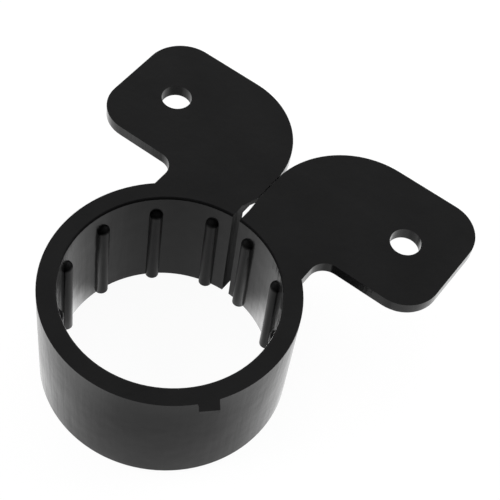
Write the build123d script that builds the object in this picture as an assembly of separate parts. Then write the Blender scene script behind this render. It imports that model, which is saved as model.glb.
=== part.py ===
from build123d import *
import os
from math import radians, sqrt, tan

# Insulating pipe clamp: a split ring with inner ribs and two nail ears, moulded in one piece.
# The pipe runs along Z, the ring stands on its nose at z = 0, and the split faces +Y.

# Pipe and ribs, in millimetres
pipe_diameter = 28.6      # outside of a nominal 1 inch copper tube
pipe_clearance = 0.1      # on the diameter, between the tube and the rib crests at the ear face
rib_count = 12
rib_radius = 1.0          # of the round crest
rib_height = 0.9          # of the crest above the bore wall
rib_start = 3.0           # depth of the ribs' rounded ends below the ear face
rib_split_angle = 11.5    # half the angle between the two ribs beside the split
rib_turn = 2.9            # of the whole row of ribs about Z, from the middle of the split

# Ring
ring_wall = 2.75          # at the ear face
ring_height = 18.8
draft_angle = 0.4         # degrees, on the bore and the outside, so the wall thins towards the nose
nose_radius = 0.4         # rounding of the nose's outer edge
bore_edge_radius = 0.35   # rounding of the bore's edge at the ear face

# Ears, two alike in one plane, flush with the ring's end
ear_thickness = 2.0
ear_overhang = 10.5       # from the ring's side to the ear's outer edge
ear_height = 20.1         # from the ear's lower edge to its top edge
ear_drop = 0.5            # lower edge below the ring's crown
ear_inner_radius = 12.9   # corner beside the split
ear_upper_radius = 5.8
ear_lower_radius = 5.3
neck_inset = 5.2          # from the ring's side to the neck's edge
neck_fillet = 2.5
under_edge_radius = 0.3   # rounding along the ears' underside

# Nail holes
hole_diameter = 4.5
hole_edge = 8.05          # from the ear's outer edge
hole_rise = 9.95          # from the ear's lower edge

# Split, a slot through the ring that closes to a hairline between the ears
split_width = 1.2
split_offset = -0.3       # middle of the slot from the middle of the ears
split_straight = 2.3      # reach of its parallel part at the ear face, from the bore wall
split_closed = 4.9        # reach of the closed slot at the ear face
under_straight = 4.4      # the same two reaches along the ears' underside
under_closed = 6.4
hairline_width = 0.2

# Trimmed moulding gate on the rim
gate_angle = -35.9        # about Z, from +X
gate_width = 2.8
gate_length = 1.25        # proud of the rim, at the middle of its cut
gate_thickness = 0.6
gate_lean = 15.0          # of its sides, from the radial line
gate_cut_angle = 9.0      # skew of the trimmed end

cut_margin = 1.0          # how far the cutting solids run past the faces that they cut

# Radii and places that follow
crest_radius = (pipe_diameter + pipe_clearance) / 2
bore_radius = crest_radius + rib_height
rim_radius = bore_radius + ring_wall
ear_back = ring_height - ear_thickness
ear_low = rim_radius - ear_drop
ear_top = ear_low + ear_height
ear_side = rim_radius + ear_overhang
neck_side = rim_radius - neck_inset
hole_x = ear_side - hole_edge
hole_y = ear_low + hole_rise
root_radius = rim_radius - ring_wall / 2


def taper(z):
    """How far the draft moves a ring wall at height z from its place at the ear face."""
    return tan(radians(draft_angle)) * (ring_height - z)


def bore_at(z):
    """Radius of the drafted bore wall at height z."""
    return bore_radius + taper(z)


def make_ear():
    """Right-hand ear with its half of the neck, before the bore and the split are cut."""
    root_y = sqrt(root_radius ** 2 - neck_side ** 2)
    corners = [
        (0, root_y),
        (neck_side, root_y),
        (neck_side, ear_low),
        (ear_side, ear_low),
        (ear_side, ear_top),
        (0, ear_top),
    ]
    outline = make_face(Polyline(*corners, close=True))
    radii = [neck_fillet, ear_lower_radius, ear_upper_radius, ear_inner_radius]
    for corner, radius in zip(corners[2:], radii):
        vertex = outline.vertices().sort_by_distance(Vector(*corner))[0]
        outline = fillet(vertex, radius)
    plate = extrude(Pos(0, 0, ear_back) * outline, ear_thickness)
    underside = plate.faces().sort_by(Axis.Z)[0].edges()
    free_edges = underside.filter_by(lambda edge: edge.center().X > under_edge_radius
                                     and edge.center().Y > root_y + under_edge_radius)
    return fillet(free_edges, under_edge_radius)


def make_rib(angle):
    """Half-round rib along the bore wall, with a ball end below the ear face."""
    low = -cut_margin
    high = ring_height - rib_start - rib_radius
    sunk = rib_radius - rib_height
    start = Vector(bore_at(low) + sunk, 0, low)
    end = Vector(bore_at(high) + sunk, 0, high)
    section = Plane(origin=start, z_dir=end - start) * Circle(rib_radius)
    rib = extrude(section, (end - start).length) + Pos(end) * Sphere(rib_radius)
    return Rot(0, 0, angle) * rib


def make_split():
    """Slot through the ring that closes through the ears' thickness, and the hairline beyond it."""
    left = split_offset - split_width / 2
    right = split_offset + split_width / 2
    tip = hairline_width / 2
    inner = crest_radius - cut_margin
    outer = ear_top - ear_inner_radius + cut_margin

    def slot_outline(straight, closed, z):
        sides = [(left, straight), (left, inner), (right, inner), (right, straight)]
        return Pos(0, 0, z) * make_face(Polyline(*sides, (tip, closed), (-tip, closed), close=True))

    slot_end = slot_outline(bore_radius + under_straight, bore_radius + under_closed, ear_back)
    face_end = slot_outline(bore_radius + split_straight, bore_radius + split_closed, ring_height)
    slot = extrude(slot_end, -ear_back - cut_margin)
    closing = loft([slot_end, face_end], ruled=True) + extrude(face_end, cut_margin)
    hairline = Pos(0, (inner + outer) / 2, ring_height) * Box(
        hairline_width, outer - inner, 2 * (ear_thickness + cut_margin))
    return [slot, closing, hairline]


def make_gate():
    """Stub of the trimmed gate, flush with the ear face."""
    half = gate_width / 2
    skew = tan(radians(gate_cut_angle)) * half
    outer = rim_radius + gate_length
    corners = [(root_radius, -half), (outer - skew, -half), (outer + skew, half), (root_radius, half)]
    lean = tan(radians(gate_lean))
    stub = make_face(Polyline(*[(r, side + lean * (rim_radius - r)) for r, side in corners], close=True))
    return Rot(0, 0, gate_angle) * extrude(Pos(0, 0, ring_height - gate_thickness) * stub, gate_thickness)


def make_clamp():
    """The whole moulding."""
    upright = (Align.CENTER, Align.CENTER, Align.MIN)
    barrel = Cone(rim_radius - taper(0), rim_radius, ring_height, align=upright)
    barrel = fillet(barrel.faces().sort_by(Axis.Z)[0].edges(), nose_radius)
    ear = make_ear()
    shell = barrel + ear + mirror(ear, about=Plane.YZ) + make_gate()

    low, high = -cut_margin, ring_height + cut_margin
    shell -= Pos(0, 0, low) * Cone(bore_at(low), bore_at(high), high - low, align=upright)
    shell = fillet(shell.faces().sort_by(Axis.Z)[-1].inner_wires().edges(), bore_edge_radius)

    pitch = (360 - 2 * rib_split_angle) / (rib_count - 1)
    first = 90 + rib_turn + rib_split_angle
    below_nose = Pos(0, 0, -2 * cut_margin) * Cylinder(rim_radius, 2 * cut_margin, align=upright)
    shell += [make_rib(first + i * pitch) - below_nose for i in range(rib_count)]

    hole = Cylinder(hole_diameter / 2, ear_thickness + 2 * cut_margin)
    for side in (-1, 1):
        shell -= Pos(side * hole_x, hole_y, ring_height - ear_thickness / 2) * hole
    return shell - make_split()


os.makedirs("parts", exist_ok=True)
clamp = make_clamp()
export_step(clamp, "parts/clamp_body.step")
print("ear span", 2 * ear_side, "reach", ear_top, "rim radius", rim_radius, "volume", clamp.volume)
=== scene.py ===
import math

import bpy
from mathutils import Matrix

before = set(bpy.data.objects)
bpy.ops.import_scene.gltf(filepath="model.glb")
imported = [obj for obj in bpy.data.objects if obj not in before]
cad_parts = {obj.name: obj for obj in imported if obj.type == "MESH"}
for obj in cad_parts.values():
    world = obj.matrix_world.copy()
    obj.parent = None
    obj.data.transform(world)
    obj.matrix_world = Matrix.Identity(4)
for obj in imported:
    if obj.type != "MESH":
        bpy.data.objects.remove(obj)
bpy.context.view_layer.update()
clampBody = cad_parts["clamp_body"]
print("frame loaded:", sorted(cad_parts))

# black polypropylene, satin on the walls and faces and duller on the ribs; sizes and depths in m
blackPlastic = {
    "deepColour": (0.006, 0.006, 0.0062, 1),
    "paleColour": (0.0085, 0.0085, 0.0087, 1),
    "clouds": {"size": 0.009, "detail": 3},    # patches of slightly paler plastic
    "cloudSpread": (0.3, 0.7),                 # part of the noise between the two colours
    "wallRoughness": (0.14, 0.22),             # from the deep patches to the pale ones
    "ribRoughness": (0.42, 0.5),
    "ribFoot": (0.0148, 0.0153),               # from the axis, where the ribs' finish gives way
    "ior": 1.49,
    "mirror": 0.14,                            # strength of reflections, 0.5 on smooth plastic
    "waves": {"size": 0.003, "detail": 1, "depth": 0.00004},         # sink and flow of a thin moulding
    "drawMarks": {"size": 0.0012, "detail": 2, "depth": 0.00005},    # where the mould draws off the walls
    "drawStretch": 0.1,                        # scale of the draw marks along Z
    "grain": {"size": 0.00035, "detail": 4, "depth": 0.000006},      # left by the mould's surface
}


def node(tree, kind, **values):
    made = tree.nodes.new(kind)
    for name, value in values.items():
        setattr(made, name, value)
    return made


def noise(tree, place, marks):
    made = node(tree, "ShaderNodeTexNoise")
    made.inputs["Scale"].default_value = 1 / marks["size"]
    made.inputs["Detail"].default_value = marks["detail"]
    tree.links.new(place, made.inputs["Vector"])
    return made.outputs["Fac"]


# straight change from one range to another, and below it the same with soft ends
def ramp(tree, value, fromRange, toRange, kind="LINEAR"):
    made = node(tree, "ShaderNodeMapRange", interpolation_type=kind)
    for name, number in zip(("From Min", "From Max", "To Min", "To Max"), (*fromRange, *toRange)):
        made.inputs[name].default_value = number
    tree.links.new(value, made.inputs["Value"])
    return made.outputs["Result"]


def blend(tree, value, fromRange, toRange):
    return ramp(tree, value, fromRange, toRange, kind="SMOOTHSTEP")


def length(tree, vector):
    made = node(tree, "ShaderNodeVectorMath", operation="LENGTH")
    tree.links.new(vector, made.inputs[0])
    return made.outputs["Value"]


def relief(tree, place, marks, under=None):
    made = node(tree, "ShaderNodeBump")
    made.inputs["Distance"].default_value = marks["depth"]
    tree.links.new(noise(tree, place, marks), made.inputs["Height"])
    if under:
        tree.links.new(under, made.inputs["Normal"])
    return made.outputs["Normal"]


def makeBlackPlastic(look):
    material = bpy.data.materials.new("blackPolypropylene")
    material.use_nodes = True
    tree = material.node_tree
    shader = tree.nodes["Principled BSDF"]
    place = node(tree, "ShaderNodeTexCoord").outputs["Object"]
    cloud = noise(tree, place, look["clouds"])

    colour = node(tree, "ShaderNodeMix", data_type="RGBA")
    colour.inputs["A"].default_value = look["deepColour"]
    colour.inputs["B"].default_value = look["paleColour"]
    tree.links.new(ramp(tree, cloud, look["cloudSpread"], (0, 1)), colour.inputs["Factor"])
    tree.links.new(colour.outputs["Result"], shader.inputs["Base Color"])

    flat = node(tree, "ShaderNodeVectorMath", operation="MULTIPLY")
    flat.inputs[1].default_value = (1, 1, 0)    # leaves out the height
    tree.links.new(place, flat.inputs[0])
    outward = blend(tree, length(tree, flat.outputs["Vector"]), look["ribFoot"], (0, 1))
    finish = node(tree, "ShaderNodeMix", data_type="FLOAT")
    tree.links.new(outward, finish.inputs["Factor"])
    tree.links.new(ramp(tree, cloud, look["cloudSpread"], look["ribRoughness"]), finish.inputs["A"])
    tree.links.new(ramp(tree, cloud, look["cloudSpread"], look["wallRoughness"]), finish.inputs["B"])
    tree.links.new(finish.outputs["Result"], shader.inputs["Roughness"])
    shader.inputs["IOR"].default_value = look["ior"]
    shader.inputs["Specular IOR Level"].default_value = look["mirror"]

    along = node(tree, "ShaderNodeMapping")
    along.inputs["Scale"].default_value = (1, 1, look["drawStretch"])
    tree.links.new(place, along.inputs["Vector"])
    waves = relief(tree, place, look["waves"])
    drawMarks = relief(tree, along.outputs["Vector"], look["drawMarks"], waves)
    grain = relief(tree, place, look["grain"], drawMarks)
    tree.links.new(grain, shader.inputs["Normal"])
    return material


clampBody.data.materials.clear()
clampBody.data.materials.append(makeBlackPlastic(blackPlastic))
print("plastic finish on", clampBody.name)

# white sweep under the clamp, as the camera sees it and as the plastic mirrors it; in the plastic's
# reflections alone its white is painted with pools of light and bands of shade; places in m
studioFloor = {
    "size": 6.0,
    "colour": 0.8,           # as a lit surface
    "seenGlow": 0.95,        # share of the white that needs no lamp
    "seenShade": 0.09,       # share that the clamp's shadow takes away
    "mirrorShade": 0.2,      # the same share in the plastic's reflections
    "turn": 36.2,            # degrees about Z, so that the sweep faces the camera
    "ringRadius": 0.0154,    # parts the white inside the ring from the white around it
    # painted light in reflections: the floor's white inside the ring, painted brighter towards the bore's
    # far left and far right
    "inside": {
        "middle": 0.95,
        "side": 4.8,                  # painted light: at the far left and the far right of the bore
        "aside": (0.0085, 0.0142),    # to either side of the axis, where the sides' rise starts and ends
        "past": (0.002, 0.008),       # past the axis, seen from the camera, the same
    },
    "around": {
        "foot": 0.97,        # below the ring's wall
        "band": 0.62,        # painted shade: in a dimmer band around the ring
        "far": 0.97,         # beyond the band
        "bandStart": 0.0245,
        "bandEnd": 0.0255,
        "farStart": 0.0295,
    },
    "flank": {"share": 1.55, "aside": (0.01, 0.021)},    # painted light: rise of the white around, to either side
    # painted shadow in reflections: an oval of shade below the split
    "split": {
        "share": 0.03,                   # of the white around, left below the split by the painted shadow
        "place": (0.0025, 0.0245, 0),
        "size": (0.005, 0.01, 1),        # half the shaded oval's width and length
        "edge": (1, 1.4),                # where the painted shade fades, in ovals
    },
}


def grey(value):
    return (value, value, value, 1)


# a plain number or another node's output goes into the socket
def feed(tree, value, socket):
    if isinstance(value, (int, float)):
        socket.default_value = value
    else:
        tree.links.new(value, socket)


def calc(tree, operation, *values):
    made = node(tree, "ShaderNodeMath", operation=operation)
    for value, socket in zip(values, made.inputs):
        feed(tree, value, socket)
    return made.outputs["Value"]


# painted reflection: the floor's white as the plastic mirrors it, painted brighter at the bore's sides
# and beside the ring, and painted darker in a band around the ring and below the split
def paintedReflectionGlow(tree, look):
    ground = node(tree, "ShaderNodeTexCoord").outputs["Object"]
    turned = node(tree, "ShaderNodeMapping")
    turned.inputs["Rotation"].default_value = (0, 0, -math.radians(look["turn"]))
    tree.links.new(ground, turned.inputs["Vector"])
    across = node(tree, "ShaderNodeSeparateXYZ")
    tree.links.new(turned.outputs["Vector"], across.inputs["Vector"])
    aside = calc(tree, "ABSOLUTE", across.outputs["X"])
    reach = length(tree, turned.outputs["Vector"])

    # painted light inside the ring: pools of white towards the bore's sides
    inside = look["inside"]
    rise = blend(tree, aside, inside["aside"], (0, inside["side"] - inside["middle"]))
    past = blend(tree, across.outputs["Y"], inside["past"], (0, 1))
    insideWithPaintedPools = calc(tree, "MULTIPLY_ADD", rise, past, inside["middle"])

    # painted shade in a band around the ring, and painted light to either side of it
    around = look["around"]
    near = blend(tree, reach, (look["ringRadius"], around["bandStart"]), (around["foot"], around["band"]))
    far = blend(tree, reach, (around["bandEnd"], around["farStart"]), (0, around["far"] - around["band"]))
    paintedFlankRise = blend(tree, aside, look["flank"]["aside"], (1, look["flank"]["share"]))
    aroundWithPaintedBandAndFlanks = calc(tree, "MULTIPLY", calc(tree, "ADD", near, far), paintedFlankRise)

    # painted shadow: an oval of shade on the floor below the split
    split = look["split"]
    oval = node(tree, "ShaderNodeMapping", vector_type="TEXTURE")
    oval.inputs["Location"].default_value = split["place"]
    oval.inputs["Scale"].default_value = split["size"]
    tree.links.new(ground, oval.inputs["Vector"])
    shade = blend(tree, length(tree, oval.outputs["Vector"]), split["edge"], (split["share"], 1))

    glow = node(tree, "ShaderNodeMix", data_type="FLOAT")
    tree.links.new(calc(tree, "GREATER_THAN", reach, look["ringRadius"]), glow.inputs["Factor"])
    tree.links.new(insideWithPaintedPools, glow.inputs["A"])
    tree.links.new(calc(tree, "MULTIPLY", aroundWithPaintedBandAndFlanks, shade), glow.inputs["B"])
    return glow.outputs["Result"]


def whiteSurface(tree, shade, glow):
    lit = node(tree, "ShaderNodeEmission")
    feed(tree, glow, lit.inputs["Strength"])
    plain = node(tree, "ShaderNodeBsdfDiffuse")
    plain.inputs["Color"].default_value = grey(shade)
    both = node(tree, "ShaderNodeAddShader")
    tree.links.new(lit.outputs["Emission"], both.inputs[0])
    tree.links.new(plain.outputs["BSDF"], both.inputs[1])
    return both.outputs["Shader"]


def pick(tree, ray, otherwise, chosen):
    mix = node(tree, "ShaderNodeMixShader")
    for output, socket in zip((ray, otherwise, chosen), mix.inputs):
        tree.links.new(output, socket)
    return mix.outputs["Shader"]


def makeFloor(look):
    bpy.ops.object.select_all(action="DESELECT")
    bpy.ops.mesh.primitive_plane_add(size=look["size"])
    floor = bpy.context.object
    floor.name = "studioFloor"
    material = bpy.data.materials.new("whiteSweepPaintedInReflections")
    material.use_nodes = True
    tree = material.node_tree
    tree.nodes.remove(tree.nodes["Principled BSDF"])
    plain = node(tree, "ShaderNodeBsdfDiffuse")
    plain.inputs["Color"].default_value = grey(look["colour"])
    seen = whiteSurface(tree, look["seenShade"], look["seenGlow"])
    # in the plastic's reflections the floor glows with painted light and shade
    mirroredWithPaintedLight = whiteSurface(tree, look["mirrorShade"], paintedReflectionGlow(tree, look))
    rays = node(tree, "ShaderNodeLightPath")
    surface = pick(tree, rays.outputs["Is Glossy Ray"], plain.outputs["BSDF"], mirroredWithPaintedLight)
    surface = pick(tree, rays.outputs["Is Transmission Ray"], surface, seen)
    surface = pick(tree, rays.outputs["Is Camera Ray"], surface, seen)
    tree.links.new(surface, tree.nodes["Material Output"].inputs["Surface"])
    floor.data.materials.append(material)


makeFloor(studioFloor)
print("floor laid")

# soft studio light: dim surroundings and large lamps that the plastic doesn't mirror; places in m
studioLight = {
    "behind": 0.7,              # surroundings beyond the clamp, which its top faces mirror
    "above": 0.08,              # and over it and behind the camera
    "back": (-0.55, 0.83, 0),   # way from the camera to the clamp
    "backFade": (0.05, 0.5),    # how far that way the surroundings start and stop to brighten
    "lamps": {
        "leftSoftbox": {"place": (-0.49, -0.36, 0.35), "size": 0.5, "watts": 2.8},
        "rightSoftbox": {"place": (0.31, 0.52, 0.35), "size": 0.5, "watts": 2.8},
        "overheadSoftbox": {"place": (0, 0.01, 0.85), "size": 0.6, "watts": 0.8},
    },
    "target": (0, 0.01, 0.01),
}


def makeLight(look):
    world = bpy.context.scene.world or bpy.data.worlds.new("studio")
    bpy.context.scene.world = world
    world.use_nodes = True
    tree = world.node_tree
    background = tree.nodes["Background"]
    background.inputs["Color"].default_value = grey(1)
    facing = node(tree, "ShaderNodeVectorMath", operation="DOT_PRODUCT")
    facing.inputs[1].default_value = look["back"]
    tree.links.new(node(tree, "ShaderNodeTexCoord").outputs["Generated"], facing.inputs[0])
    glow = blend(tree, facing.outputs["Value"], look["backFade"], (look["above"], look["behind"]))
    tree.links.new(glow, background.inputs["Strength"])
    target = bpy.data.objects.new("lampTarget", None)
    target.location = look["target"]
    bpy.context.scene.collection.objects.link(target)
    for name, lamp in look["lamps"].items():
        data = bpy.data.lights.new(name, "AREA")
        data.size = lamp["size"]
        data.energy = lamp["watts"]
        made = bpy.data.objects.new(name, data)
        made.location = lamp["place"]
        made.visible_glossy = False
        bpy.context.scene.collection.objects.link(made)
        aim = made.constraints.new("TRACK_TO")
        aim.target = target
        aim.track_axis = "TRACK_NEGATIVE_Z"
        aim.up_axis = "UP_Y"


makeLight(studioLight)
print("lamps set:", len(studioLight["lamps"]))

# the photograph's view
photoView = {
    "place": (0.05700, -0.08618, 0.17229),
    "turn": (35.559, -5.832, 36.238),    # degrees about X, Y and Z
    "lens": 98.89,                       # mm, for the sensor's width
    "sensor": 36,
    "clip": (0.01, 20),                  # nearest and farthest that is drawn, m
}


def makeCamera(look):
    data = bpy.data.cameras.new("photoCamera")
    data.lens = look["lens"]
    data.sensor_width = look["sensor"]
    data.clip_start, data.clip_end = look["clip"]
    camera = bpy.data.objects.new("photoCamera", data)
    camera.location = look["place"]
    camera.rotation_euler = [math.radians(angle) for angle in look["turn"]]
    bpy.context.scene.collection.objects.link(camera)
    bpy.context.scene.camera = camera


makeCamera(photoView)
bpy.context.scene.view_settings.view_transform = "Standard"
print("camera placed")
